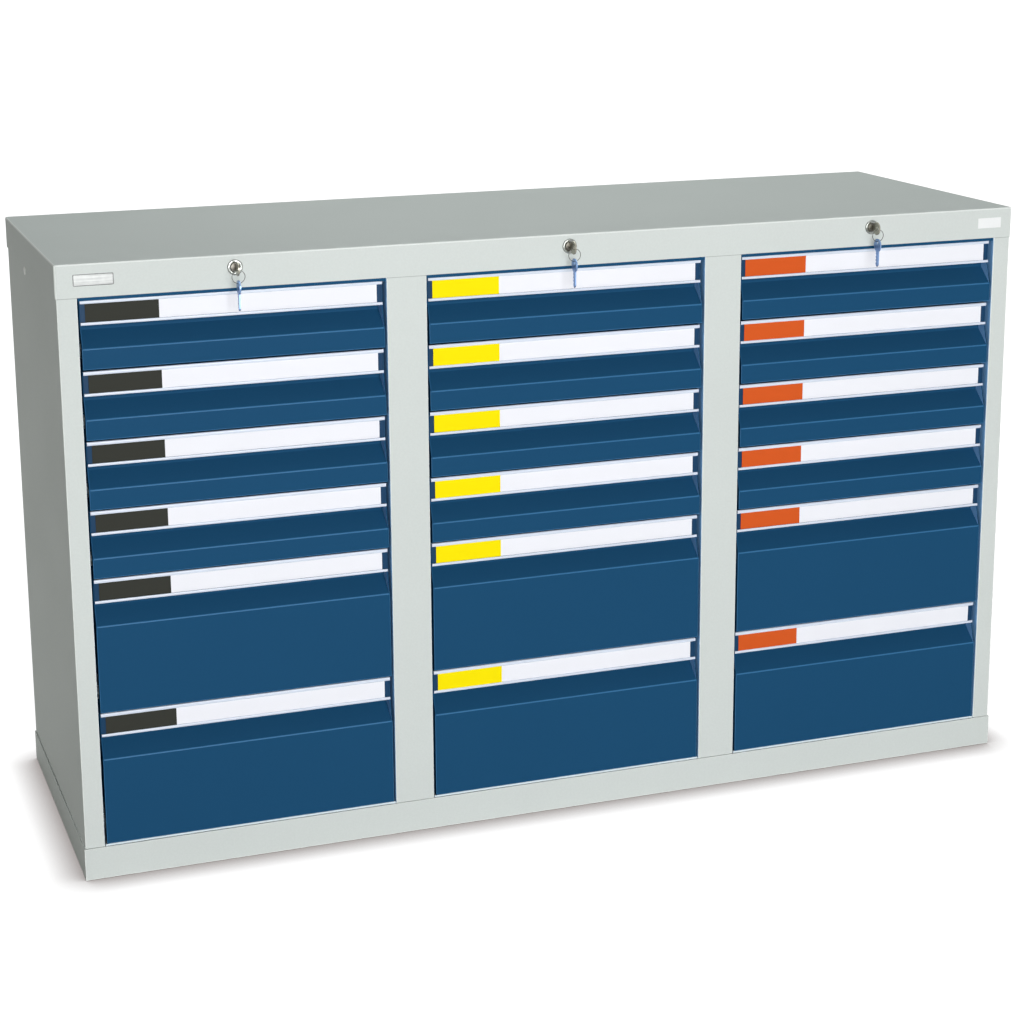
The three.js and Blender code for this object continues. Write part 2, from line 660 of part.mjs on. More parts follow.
// Lock bar: a fork round the pin, an arm over the drawers and an upright with a hook for each row.
function lockBar() {
  const thickness = [-BAR_THICKNESS / 2, BAR_THICKNESS / 2];
  const front = PAN_BACK + BAR_BEHIND_PAN;
  const slotFoot = -PIN_OFFSET - PIN_RADIUS - PIN_PLAY;
  const slotTop = -PIN_OFFSET + PIN_RADIUS + PIN_PLAY;
  const slotSpan = [-PIN_THROW - PIN_RADIUS - PIN_PLAY, -PIN_OFFSET + PIN_RADIUS + PIN_PLAY];
  const armTop = slotFoot - ARM_BELOW_SLOT;
  const armFoot = armTop - ARM_HEIGHT;
  const fork = cut(
    box([slotSpan[0] - FORK_RIM, slotSpan[1] + FORK_RIM], [FORK_FRONT, FORK_BACK],
      [armFoot, slotTop + FORK_RIM]),
    [box(slotSpan, [FORK_FRONT - OVERRUN, FORK_BACK + OVERRUN], [slotFoot, slotTop])],
  );
  const tips = rowFeet().map((foot, row) => {
    const keeperTop = foot + ROW_HEIGHTS[row] - PAN_HEAD_GAP - KEEPER_BELOW_RIM;
    return keeperTop - SHEET - FIT - BAR_TRAVEL - LOCK_HEIGHT;
  });
  const foot = Math.min(...tips) - HOOK_RISE - HOOK_ARM - BAR_FOOT;
  const hooks = tips.flatMap((tip) => [
    box(thickness, [front - HOOK_REACH, front + BAR_WIDTH / 2],
      [tip - HOOK_RISE - HOOK_ARM, tip - HOOK_RISE]),
    box(thickness, [front - HOOK_REACH, front - HOOK_REACH + HOOK_TIP],
      [tip - HOOK_RISE - HOOK_ARM / 2, tip]),
  ]);
  return join([
    box(thickness, [FORK_FRONT, front + BAR_WIDTH], [armFoot, armTop]),
    box(thickness, [front, front + BAR_WIDTH], [foot, armTop]),
    fork,
    ...hooks,
  ]);
}

// Adds a named mesh of a solid at a place.
function place(group, name, solid, look, [x, y, z] = [0, 0, 0]) {
  const mesh = new THREE.Mesh(geometryOf(solid), new THREE.MeshStandardMaterial(look));
  mesh.name = name;
  mesh.position.set(x, y, z);
  group.add(mesh);
}

// Housing: everything that stands still.
function housing() {
  const group = new THREE.Group();
  place(group, "top_cap", cap(), paintedSteel);
  place(group, "side_panel_left", sidePanel(1), paintedSteel);
  place(group, "side_panel_right", sidePanel(-1), paintedSteel, [CABINET_WIDTH, 0, 0]);
  columns().slice(1).forEach((left, i) => {
    place(group, `divider_${i + 1}`, divider(left), paintedSteel);
  });
  place(group, "back_panel", backPanel(), paintedSteel);
  place(group, "floor_panel", floorPanel(), paintedSteel);
  place(group, "base_plinth", plinth(), paintedSteel);
  return group;
}

// Drawers: one pan and one label rail for each row of each column.
function drawers() {
  const group = new THREE.Group();
  const pans = new Map([...new Set(ROW_HEIGHTS)].map((height) => [height, drawerPan(height)]));
  const rail = labelRail();
  columns().forEach((left, column) => {
    rowFeet().forEach((foot, row) => {
      const label = `${column + 1}_${row + 1}`;
      const height = ROW_HEIGHTS[row];
      place(group, `drawer_${label}`, pans.get(height), bluePaint, [left, 0, foot]);
      place(group, `label_rail_${label}`, rail, clearPlastic, [left, 0, foot + height - FRONT_HEAD_GAP]);
    });
  });
  return group;
}

// Locks: cylinder, turning key, ring, spare key and lock bar for each column.
function locks() {
  const group = new THREE.Group();
  columns().forEach((left, column) => {
    const middle = left + COLUMN_WIDTH / 2;
    const axis = [middle, 0, LOCK_HEIGHT];
    const label = column + 1;
    place(group, `lock_cylinder_${label}`, lockCylinder(), chrome, axis);
    place(group, `lock_key_${label}`, lockKey(), keySteel, axis);
    place(group, `key_ring_${label}`, keyRing(), keySteel, [middle, KEY_HOLE, RING_CENTRE]);
    place(group, `spare_key_${label}`, spareKey(), keySteel, [middle, KEY_HOLE, SPARE_CENTRE]);
    place(group, `lock_bar_${label}`, lockBar(), zincSteel, axis);
  });
  return group;
}

// The whole cabinet, stood with the middle of its box's foot on the origin.
function cabinet() {
  const group = new THREE.Group();
  group.add(housing(), drawers(), locks());
  const bounds = new THREE.Box3().setFromObject(group);
  const middle = bounds.getCenter(new THREE.Vector3());
  group.position.set(-middle.x, -middle.y, -bounds.min.z);
  return group;
}

export default cabinet();
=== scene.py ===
"""Looks of a workshop drawer cabinet: three columns of six drawers under a folded cap, on a plinth.

Every length of a piece is in millimetres, measured from the cabinet's front left foot corner: X to the
right, Y into the cabinet and Z up. placed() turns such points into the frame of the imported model, whose
metres the studio is laid out in.
"""

import logging
import math
from dataclasses import dataclass, field
from enum import Enum

import bmesh
import bpy
import numpy as np
from mathutils import Matrix, Vector


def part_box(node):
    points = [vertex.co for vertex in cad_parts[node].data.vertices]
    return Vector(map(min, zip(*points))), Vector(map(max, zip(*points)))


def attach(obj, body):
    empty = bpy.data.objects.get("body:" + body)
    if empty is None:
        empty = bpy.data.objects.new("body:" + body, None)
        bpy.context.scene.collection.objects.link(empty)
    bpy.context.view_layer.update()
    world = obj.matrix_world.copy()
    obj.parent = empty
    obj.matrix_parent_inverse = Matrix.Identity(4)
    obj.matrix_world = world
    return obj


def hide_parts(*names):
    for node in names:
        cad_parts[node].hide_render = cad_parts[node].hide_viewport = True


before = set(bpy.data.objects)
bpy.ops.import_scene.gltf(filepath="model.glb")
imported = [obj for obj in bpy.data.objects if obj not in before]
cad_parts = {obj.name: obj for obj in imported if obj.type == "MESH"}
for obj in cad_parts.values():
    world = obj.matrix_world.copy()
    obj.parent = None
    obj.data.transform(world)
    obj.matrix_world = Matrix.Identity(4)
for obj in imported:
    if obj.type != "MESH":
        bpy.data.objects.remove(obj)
LOG = logging.getLogger("drawer_cabinet")
MM = 0.001
CAP_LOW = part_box("top_cap")[0]
FOOT_CORNER = np.array([CAP_LOW.x, CAP_LOW.y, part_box("base_plinth")[0].z])
COLUMN_WIDTH = 500.0
COLUMN_LEFTS = (0.0, COLUMN_WIDTH, 2 * COLUMN_WIDTH)
WHITE = (1.0, 1.0, 1.0, 1.0)
MERGE_REACH = 0.01  # millimetres within which corners of a CAD node are one
FLAT_BEND = math.radians(1.0)  # up to which its triangles are one plate
SHORTEST_ROUND = 7.0  # millimetres
FLATTEST_ROUND = 12.0  # degrees
SHARP_BEND = 40.0  # degrees
ROUND_SHARE = 0.4  # of a plate's width
SPOTS = (0.01, 0.5, 0.99)  # of a side's length, where that width is measured
SLANT = 0.7  # sine of the most that the line across may lean
Pair = tuple[float, float]
Triple = tuple[float, float, float]
Quad = tuple[float, float, float, float]
Shell = tuple[np.ndarray, list]
Socket = bpy.types.NodeSocket
Mesh = bpy.types.Mesh
Material = bpy.types.Material
Item = bpy.types.Object


def placed(points: np.ndarray) -> np.ndarray:
    """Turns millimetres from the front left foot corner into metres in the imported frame.

    Args:
        points: Points as rows of X, Y and Z.

    Returns:
        The points in metres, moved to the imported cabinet's corner.
    """
    return np.asarray(points, float) * MM + FOOT_CORNER


def linear(red: int, green: int, blue: int) -> Quad:
    """Turns a screen colour into the linear colour of a shader.

    Args:
        red: Red from 0 to 255.
        green: Green from 0 to 255.
        blue: Blue from 0 to 255.

    Returns:
        Red, green, blue and an opacity of 1, each from 0 to 1.
    """
    screen = np.array([red, green, blue]) / 255.0
    light = np.where(screen <= 0.04045, screen / 12.92, ((screen + 0.055) / 1.055) ** 2.4)
    return (*(float(x) for x in light), 1.0)


def stood(name: str, data: bpy.types.ID) -> Item:
    """Puts a new object with that name and data in the scene."""
    item = bpy.data.objects.new(name, data)
    bpy.context.scene.collection.objects.link(item)
    return item


# Finishes


class NodeBench:
    """Lays out nodes in a tree."""

    def __init__(self, tree: bpy.types.NodeTree) -> None:
        """Takes a material's tree or the world's."""
        self.tree = tree

    def add(self, kind: str, **sockets: object) -> bpy.types.Node:
        """Adds a node.

        Args:
            kind: The node's type.
            sockets: Values or outputs for its inputs, with _ in place of a space in an input's name.

        Returns:
            The new node.
        """
        node = self.tree.nodes.new(kind)
        for name, value in sockets.items():
            self.feed(node.inputs[name.replace("_", " ")], value)
        return node

    def feed(self, socket: Socket, value: object) -> None:
        """Links an output to an input, or sets the input's own value."""
        if isinstance(value, Socket):
            self.tree.links.new(value, socket)
        else:
            socket.default_value = value

    def mapped(self, value: Socket, *limits: float) -> Socket:
        """Carries a value from the span of the first two limits to that of the last two."""
        node = self.add("ShaderNodeMapRange", Value=value)
        for index, limit in enumerate(limits, 1):
            node.inputs[index].default_value = limit
        return node.outputs["Result"]

    def combined(self, operation: str, first: object, second: object) -> Socket:
        """Joins two values by a math operation."""
        node = self.add("ShaderNodeMath")
        node.operation = operation
        self.feed(node.inputs[0], first)
        self.feed(node.inputs[1], second)
        return node.outputs[0]

    def seen(self) -> Socket:
        """1 for a ray that the camera, a gloss or a clear piece sends out, else 0."""
        path = self.add("ShaderNodeLightPath")
        total = path.outputs["Is Camera Ray"]
        for name in ("Is Glossy Ray", "Is Transmission Ray"):
            total = self.combined("MAXIMUM", total, path.outputs[name])
        return total


class ShaderBench(NodeBench):
    """Lays out the nodes of one material round its Principled shader."""

    def __init__(self, name: str) -> None:
        """Makes an empty material with that name."""
        self.material = bpy.data.materials.new(name)
        self.material.use_nodes = True
        super().__init__(self.material.node_tree)
        self.surface = self.tree.nodes["Principled BSDF"]
        self.place = self.add("ShaderNodeTexCoord").outputs["Object"]

    def stretched(self, scale: Triple) -> Socket:
        """Object coordinates times a scale on each axis."""
        return self.add("ShaderNodeMapping", Vector=self.place, Scale=scale).outputs["Vector"]

    def noise(self, vector: Socket, scale: float, detail: float = 2.0) -> Socket:
        """Grey noise of that many waves per metre."""
        return self.add("ShaderNodeTexNoise", Vector=vector, Scale=scale, Detail=detail).outputs["Fac"]

    def between(self, share: Socket, low: float, high: float) -> Socket:
        """Carries the middle of a noise, from 0.3 to 0.7, to the span from low to high."""
        return self.mapped(share, 0.3, 0.7, low, high)

    def shaded(self, colour: object, share: Socket, depth: float) -> Socket:
        """The colour made up to that depth darker or lighter where the noise says."""
        value = self.between(share, 1.0 - depth, 1.0 + depth)
        return self.add("ShaderNodeHueSaturation", Color=colour, Value=value).outputs["Color"]

    def relief(self, height: Socket, depth: float, strength: float) -> None:
        """Roughens the surface by a height in millimetres."""
        node = self.add("ShaderNodeBump", Height=height, Distance=depth * MM, Strength=strength)
        self.feed(self.surface.inputs["Normal"], node.outputs["Normal"])

    def set(self, **sockets: object) -> None:
        """Feeds the Principled shader's inputs, with _ in place of a space."""
        for name, value in sockets.items():
            self.feed(self.surface.inputs[name.replace("_", " ")], value)


@dataclass(frozen=True)
class Finish:
    """A named finish with its colour and gloss."""

    name: str
    slot: str
    colour: Quad
    roughness: float

    def material(self) -> Material:
        """Gives this finish's material, made once."""
        return bpy.data.materials.get(self.name) or self.make()

    def make(self) -> Material:
        """Makes the material."""
        raise NotImplementedError


@dataclass(frozen=True)
class PowderCoat(Finish):
    """Baked powder paint: fine orange peel, faint clouds in its colour and gloss."""

    specular: float = 0.5
    clouds: float = 0.02
    peel: float = 0.02

    def make(self) -> Material:
        """Makes the material."""
        bench = ShaderBench(self.name)
        fine = bench.noise(bench.place, 1100.0, 3.0)
        cloud = bench.noise(bench.place, 2.3, 3.0)
        speckle = bench.noise(bench.place, 340.0, 1.0)
        tone = bench.shaded(bench.shaded(self.colour, cloud, self.clouds), speckle, 0.015)
        gloss = bench.between(bench.noise(bench.place, 9.0), self.roughness - 0.03, self.roughness + 0.03)
        bench.set(Base_Color=tone, Roughness=gloss, Specular_IOR_Level=self.specular)
        bench.relief(fine, self.peel, 0.35)
        return bench.material


@dataclass(frozen=True)
class DrawnMetal(Finish):
    """Plated or brushed metal with fine lines along one axis."""

    lines: Triple = (1.0, 1.0, 1.0)
    wear_and_reflection: float = 0.05

    def make(self) -> Material:
        """Makes the material."""
        bench = ShaderBench(self.name)
        brushed = bench.noise(bench.stretched(self.lines), 700.0, 2.0)
        # blotches in the tone: handling wear, and where strong, painted dark reflections
        wear_and_reflection_marks = bench.noise(bench.place, 160.0, 4.0)
        tone = bench.shaded(self.colour, wear_and_reflection_marks, self.wear_and_reflection)
        gloss = bench.between(brushed, max(self.roughness - 0.06, 0.04), self.roughness + 0.1)
        bench.set(Base_Color=tone, Metallic=1.0, Roughness=gloss)
        bench.relief(brushed, 0.01, 0.3)
        return bench.material


@dataclass(frozen=True)
class ClearPlastic(Finish):
    """Extruded clear plastic with faint draw lines along its length."""

    clarity: float = 0.9
    specular: float = 0.5

    def make(self) -> Material:
        """Makes the material."""
        bench = ShaderBench(self.name)
        drawn = bench.noise(bench.stretched((0.01, 1.0, 1.0)), 900.0, 2.0)
        tone = bench.shaded(self.colour, bench.noise(bench.place, 6.0), 0.02)
        gloss = bench.between(drawn, self.roughness, self.roughness + 0.08)
        bench.set(Base_Color=tone, Roughness=gloss, IOR=1.46, Transmission_Weight=self.clarity)
        bench.set(Specular_IOR_Level=self.specular)
        bench.relief(drawn, 0.02, 0.3)
        return bench.material


@dataclass(frozen=True)
class Card(Finish):
    """Paper or card: fibres in its tone, a matt face and a slight tooth."""

    fibre: float = 0.012
    specular: float = 0.3

    def make(self) -> Material:
        """Makes the material."""
        bench = ShaderBench(self.name)
        fibres = bench.noise(bench.stretched((0.35, 1.0, 1.0)), 1500.0, 4.0)
        broad = bench.noise(bench.place, 14.0, 2.0)
        tone = bench.shaded(bench.shaded(self.colour, fibres, self.fibre), broad, 0.008)
        gloss = bench.between(fibres, self.roughness - 0.05, self.roughness + 0.05)
        bench.set(Base_Color=tone, Roughness=gloss, Specular_IOR_Level=self.specular)
        bench.relief(fibres, 0.02, 0.3)
        return bench.material


HOUSING_PAINT = PowderCoat("housing powder coat", "housing_paint", linear(212, 218, 215), 0.58, specular=0.05)
# lighter paint on the rounded housing edges: a painted highlight
HOUSING_HIGHLIGHT_PAINT = PowderCoat("housing edge highlight powder coat", "housing_paint", linear(236, 241, 238), 0.4, specular=0.08)
# pale strip at the foot of each opening: painted highlight of the plinth's lit ledge
SILL_HIGHLIGHT_PAINT = PowderCoat("sill highlight powder coat", "housing_paint", linear(224, 236, 242), 0.44, specular=0.25)
DRAWER_PAINT = PowderCoat("drawer powder coat", "drawer_paint", linear(30, 77, 113), 0.4, specular=0.02)
# lighter blue on the rounded drawer folds: a painted highlight
FOLD_HIGHLIGHT_PAINT = PowderCoat("drawer fold highlight powder coat", "drawer_paint", linear(54, 110, 154), 0.3, specular=0.1)
# light blue on faces that look left inside the openings: painted light
CHEEK_LIGHT_PAINT = PowderCoat("drawer cheek light powder coat", "drawer_paint", linear(132, 186, 236), 0.36, specular=0.1)
RAIL_WEB = ClearPlastic("clear rail web", "label_rail", linear(27, 68, 104), 0.3, clarity=0.2, specular=0.04)
# near-white tone of the clear lips: painted light that they catch
RAIL_LIP_GLOW = ClearPlastic("clear rail lip glow", "label_rail", linear(231, 240, 254), 0.22, clarity=0.15)
RAIL_END = ClearPlastic("sawn rail end", "label_rail", linear(25, 64, 99), 0.4, clarity=0.1, specular=0.04)
PAPER = Card("label paper", "label_rail", linear(243, 244, 250), 0.75)
# strong blotches on the chrome and the plug: painted dark reflections besides wear
NICKEL = DrawnMetal("lock nickel", "lock_body", linear(142, 145, 142), 0.12, wear_and_reflection=0.4)
PLUG_STEEL = DrawnMetal("lock plug steel", "key_steel", linear(92, 90, 84), 0.3, wear_and_reflection=0.4)
KEY_STEEL = DrawnMetal("key steel", "key_steel", linear(150, 148, 136), 0.26, lines=(1.0, 1.0, 0.05))
RING_WIRE = DrawnMetal("ring wire", "key_steel", linear(92, 94, 90), 0.2)
BLUED_STEEL = DrawnMetal("blued key steel", "key_steel", linear(122, 150, 190), 0.3, lines=(1.0, 1.0, 0.05))
ZINC = DrawnMetal("bar zinc", "bar_steel", linear(168, 174, 178), 0.42, lines=(1.0, 1.0, 0.02), wear_and_reflection=0.08)
BRUSHED = DrawnMetal("bare plate aluminium", "lock_body", linear(160, 162, 161), 0.55, lines=(0.02, 1.0, 1.0))
VINYL = Card("bare label vinyl", "housing_paint", linear(242, 244, 244), 0.4, fibre=0.006)
# dark rim round the bare plate: painted shade along its edge
PLATE_RIM_SHADE = DrawnMetal("bare plate rim shade", "lock_body", linear(96, 98, 98), 0.5, lines=(0.02, 1.0, 1.0))
PLUG_CAP = Card("hole plug plastic", "housing_paint", linear(250, 252, 249), 0.45, fibre=0.01)
# darker strips under the fascia's foot: painted shade lines at the seams
SEAM_SHADE_PAINT = PowderCoat("seam shade powder coat", "housing_paint", linear(172, 178, 175), 0.5, specular=0.1)


class TagColour(Enum):
    """Colour of the slip at the left end of a label strip, one for each column."""

    BLACK = (56, 57, 52)
    YELLOW = (255, 234, 4)
    ORANGE = (216, 92, 38)

    def finish(self) -> Card:
        """Gives the card finish of that colour."""
        return Card(f"{self.name.lower()} tag card", "label_rail", linear(*self.value), 0.6, specular=0.05)


# Shapes


def loft(rings: np.ndarray, closed: bool = False) -> Shell:
    """Joins rings of points into a closed surface.

    Point (i, j) is point j of ring i. Each quad spans rings i and i + 1 and points j and j + 1, and the
    points wrap round. The rings wrap round too if closed, and otherwise the two end rings become faces.

    Args:
        rings: Points as an array of rings by points by three.
        closed: Whether the last ring joins the first.

    Returns:
        The points and the faces.
    """
    count, around = rings.shape[:2]
    i, j = np.meshgrid(np.arange(count if closed else count - 1), np.arange(around), indexing="ij")
    following, beside = (i + 1) % count, (j + 1) % around
    corners = [i * around + j, following * around + j, following * around + beside, i * around + beside]
    faces = np.stack(corners, -1).reshape(-1, 4).tolist()
    if not closed:
        faces += [list(range(around))[::-1], list(range((count - 1) * around, count * around))]
    return rings.reshape(-1, 3), faces


def circle(steps: int) -> np.ndarray:
    """Cosine and sine of equal steps round a circle, as rows."""
    turn = np.linspace(0.0, 2.0 * math.pi, steps, endpoint=False)
    return np.stack([np.cos(turn), np.sin(turn)], -1)


def turned(profile: np.ndarray, steps: int) -> Shell:
    """Turns a profile of radii and depths about Y: point (i, j) is radius i times direction j, at depth i.

    Args:
        profile: Radius and depth, as rows from one pole to the other.
        steps: Points round the axis.

    Returns:
        The points and the faces.
    """
    around = circle(steps)
    radius, depth = profile[:, :1], profile[:, 1:]
    return loft(np.stack(np.broadcast_arrays(radius * around[:, 0], depth, radius * around[:, 1]), -1))


def bored(profile: np.ndarray, steps: int) -> Shell:
    """Turns a closed profile of radii and depths about Y, which leaves an open bore.

    Args:
        profile: Radius and depth of each corner, once round.
        steps: Points round the axis.

    Returns:
        The points and the faces.
    """
    around = circle(steps)
    radius, depth = profile.T
    rings = np.broadcast_arrays(around[:, :1] * radius, depth, around[:, 1:] * radius)
    return loft(np.stack(rings, -1), closed=True)


def carried(section: np.ndarray, stations: np.ndarray) -> Shell:
    """Carries a section in Y and Z along X: ring i is the section at station i.

    Args:
        section: Corners of the section as rows of Y and Z.
        stations: The X of each ring.

    Returns:
        The points and the faces.
    """
    return loft(np.stack(np.broadcast_arrays(stations[:, None], section[:, 0], section[:, 1]), -1))


def arc(centre: Pair, radius: Pair, start: float, end: float, steps: int) -> np.ndarray:
    """Points on an elliptic arc: centre plus radius times cosine and sine of an angle in degrees."""
    angle = np.radians(np.linspace(start, end, steps))
    return np.stack([centre[0] + radius[0] * np.cos(angle), centre[1] + radius[1] * np.sin(angle)], -1)


def rounded_outline(width: float, height: float, radius: float) -> np.ndarray:
    """Outline of a rectangle about its middle, with a quarter arc at each corner."""
    u, v = width / 2 - radius, height / 2 - radius
    turns = zip(((u, v), (-u, v), (-u, -v), (u, -v)), (0, 90, 180, 270))
    return np.concatenate([arc(middle, (radius, radius), a, a + 90, 6) for middle, a in turns])


def domed_plate(width: float, height: float, corner: float, thickness: float, edge: float) -> Shell:
    """A thin plate facing the front: its rounded outline, drawn in by an edge at the front face.

    Ring k is the outline less k's inset, at k's depth: the back, the rim and a quarter round to the face.

    Args:
        width: Width along X.
        height: Height along Z.
        corner: Radius of its corners.
        thickness: Thickness along Y, towards the front.
        edge: Radius of the round between rim and face.

    Returns:
        The points and the faces.
    """
    turn = np.radians(np.linspace(0, 90, 5))
    insets = np.concatenate([[0.0], edge * (1 - np.cos(turn))])
    depths = np.concatenate([[0.0], -thickness + edge * (1 - np.sin(turn))])
    outlines = [rounded_outline(width - 2 * s, height - 2 * s, max(corner - s, 0.05)) for s in insets]
    return loft(np.array([np.insert(o, 1, y, axis=1) for o, y in zip(outlines, depths)]))


def moved(shell: Shell, offset: Triple) -> Shell:
    """The same surface, moved by an offset."""
    return shell[0] + offset, shell[1]


def joined(shells: list[Shell]) -> Shell:
    """Several closed surfaces as one list of points and faces."""
    faces, start = [], 0
    for points, own in shells:
        faces += [[start + corner for corner in face] for face in own]
        start += len(points)
    return np.concatenate([points for points, _ in shells]), faces


def read(items: bpy.types.bpy_prop_collection, name: str, width: int, kind: type = float) -> np.ndarray:
    """Reads one property of every item of a mesh.

    Args:
        items: The vertices, edges, loops or polygons.
        name: The property.
        width: How many numbers it has.
        kind: float or int.

    Returns:
        An array of items, or of items by width.
    """
    values = np.zeros(len(items) * width, np.float32 if kind is float else np.int32)
    items.foreach_get(name, values)
    return (values if width == 1 else values.reshape(-1, width)).astype(kind)


def centres(mesh: Mesh) -> np.ndarray:
    """Middle of each face, in millimetres from the front left foot corner."""
    return (read(mesh.polygons, "center", 3) - FOOT_CORNER) / MM


def painted(mesh: Mesh, finish: np.ndarray) -> None:
    """Gives each face the finish of that number, where True is the second one."""
    mesh.polygons.foreach_set("material_index", finish.astype(np.int32))


def smoothed(mesh: Mesh, angle: float) -> None:
    """Shades a mesh smooth, with edges sharper than an angle in degrees kept crisp."""
    mesh.shade_smooth()
    mesh.set_sharp_from_angle(angle=math.radians(angle))


@dataclass
class Piece:
    """One object of the looks: where it belongs and what it is made of."""

    name: str
    body: str
    finishes: list[Finish]
    stands_for: str | None = None

    def from_shell(self, shell: Shell, crisp: float = 35.0) -> Item:
        """Makes the piece from points in millimetres and faces.

        Args:
            shell: The points and the faces.
            crisp: Edges sharper than this many degrees stay sharp.

        Returns:
            The finished object.
        """
        mesh = bpy.data.meshes.new(self.name)
        mesh.from_pydata(placed(shell[0]).tolist(), [], shell[1])
        work = bmesh.new()
        work.from_mesh(mesh)
        bmesh.ops.recalc_face_normals(work, faces=work.faces)
        work.to_mesh(mesh)
        work.free()
        smoothed(mesh, crisp)
        return self.settle(mesh)

    def from_node(self, node: str, radius: float, fold: int = 0, crisp: Pair = (0.0, 0.0)) -> Item:
        """Makes the piece from a copy of a CAD node, with its long edges rounded.

        Args:
            node: The CAD node's name.
            radius: The largest rounding, in millimetres.
            fold: Which of the piece's finishes the roundings take; a lighter one there is a painted highlight.
            crisp: Band of depth behind the fascia, in millimetres, whose edges stay as they are.

        Returns:
            The finished object.
        """
        mesh = self.plates(node)
        self.round_edges(mesh, radius, crisp)
        piece = self.settle(mesh)
        bevel = piece.modifiers.new("rounded edges", "BEVEL")
        bevel.width = radius * MM
        bevel.segments = 2
        bevel.limit_method = "WEIGHT"
        bevel.use_clamp_overlap = False
        bevel.material = fold
        self.flatten(piece)
        return piece

    def plates(self, node: str) -> Mesh:
        """Copies a CAD node, and merges its loose triangles into flat plates."""
        work = bmesh.new()
        work.from_mesh(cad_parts[node].data)
        bmesh.ops.remove_doubles(work, verts=work.verts, dist=MERGE_REACH * MM)
        bmesh.ops.dissolve_limit(work, angle_limit=FLAT_BEND, verts=work.verts, edges=work.edges)
        mesh = bpy.data.meshes.new(self.name)
        work.to_mesh(mesh)
        work.free()
        return mesh

    @staticmethod
    def flatten(piece: Item) -> None:
        """Shades wide plates flat and lets only the narrow rounds between them turn."""
        piece.modifiers.new("flat plates", "WEIGHTED_NORMAL").keep_sharp = True

    @staticmethod
    def clearance(corners: np.ndarray) -> np.ndarray:
        """Measures how wide a flat plate is beside each of its sides.

        Args:
            corners: The plate's corners in order.

        Returns:
            The least distance from spots on each side across the plate to a side that doesn't join it.
        """
        own = np.arange(len(corners))
        way = np.roll(corners, -1, 0) - corners
        length = np.linalg.norm(way, axis=1)
        spots = corners[:, None] + way[:, None] * np.array(SPOTS)[:, None]
        off = spots[:, :, None] - corners
        share = np.clip((off * way).sum(-1) / length**2, 0.0, 1.0)
        gap = off - share[..., None] * way
        size = np.linalg.norm(gap, axis=-1)
        along = np.abs((gap * (way / length[:, None])[:, None, None]).sum(-1))
        size[along > SLANT * size] = np.inf
        for step in (-1, 0, 1):
            size[own, :, (own + step) % len(own)] = np.inf
        return size.min((1, 2))

    @classmethod
    def plate_widths(cls, mesh: Mesh, length: np.ndarray) -> np.ndarray:
        """Measures the plate beside each corner's edge.

        Args:
            mesh: The mesh.
            length: Length of each edge.

        Returns:
            The plate's width there, or twice its area over its rim's length, whichever is less.
        """
        corners = read(mesh.polygons, "loop_total", 1, int)
        area = read(mesh.polygons, "area", 1)
        first = np.cumsum(corners) - corners
        rim = read(mesh.vertices, "co", 3)[read(mesh.loops, "vertex_index", 1, int)]
        local = np.concatenate([cls.clearance(plate) for plate in np.split(rim, first[1:])])
        edges = read(mesh.loops, "edge_index", 1, int)
        whole = 2 * area / np.add.reduceat(length[edges], first)
        return np.minimum(local, np.repeat(whole, corners))

    @classmethod
    def round_edges(cls, mesh: Mesh, radius: float, crisp: Pair) -> None:
        """Writes the bevel weight of each edge, and marks the bent edges without one as sharp.

        An edge is rounded by the radius or by a share of the narrower plate beside it, whichever is less,
        so that the thin U of a hem keeps its shape. Short edges, edges in the crisp band and edges between
        plates that lie nearly flat stay as they are.

        Args:
            mesh: The mesh.
            radius: The largest rounding, in millimetres.
            crisp: Band of depth behind the fascia, in millimetres, whose edges aren't rounded.
        """
        mesh.shade_smooth()
        points = read(mesh.vertices, "co", 3)
        ends = read(mesh.edges, "vertices", 2, int)
        length = np.linalg.norm(points[ends[:, 0]] - points[ends[:, 1]], axis=1)
        order = np.argsort(read(mesh.loops, "edge_index", 1, int), kind="stable")
        normal = np.repeat(read(mesh.polygons, "normal", 3), read(mesh.polygons, "loop_total", 1, int), 0)
        pair = normal[order].reshape(-1, 2, 3)
        bend = np.degrees(np.arccos(np.clip(pair.prod(1).sum(1), -1, 1)))
        width = cls.plate_widths(mesh, length)[order].reshape(-1, 2).min(1)
        depth = (points[ends].mean(1)[:, 1] - FOOT_CORNER[1]) / MM
        chosen = (length > SHORTEST_ROUND * MM) & (bend > FLATTEST_ROUND)
        chosen &= (depth < crisp[0]) | (depth >= crisp[1])
        weight = np.where(chosen, np.clip(ROUND_SHARE * width / (radius * MM), 0.0, 1.0), 0.0)
        rounded = mesh.attributes.new("bevel_weight_edge", "FLOAT", "EDGE")
        rounded.data.foreach_set("value", weight.astype(np.float32))
        sharp = mesh.attributes.get("sharp_edge") or mesh.attributes.new("sharp_edge", "BOOLEAN", "EDGE")
        sharp.data.foreach_set("value", (bend > SHARP_BEND) & (weight == 0))

    def settle(self, mesh: Mesh) -> Item:
        """Puts the mesh in the scene, with its finishes and body, and hides the CAD node it stands for."""
        piece = stood(self.name, mesh)
        for finish in self.finishes:
            mesh.materials.append(finish.material())
        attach(piece, self.body)
        if self.stands_for:
            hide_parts(self.stands_for)
        LOG.info("%s on %s", self.name, self.body)
        return piece


# Housing


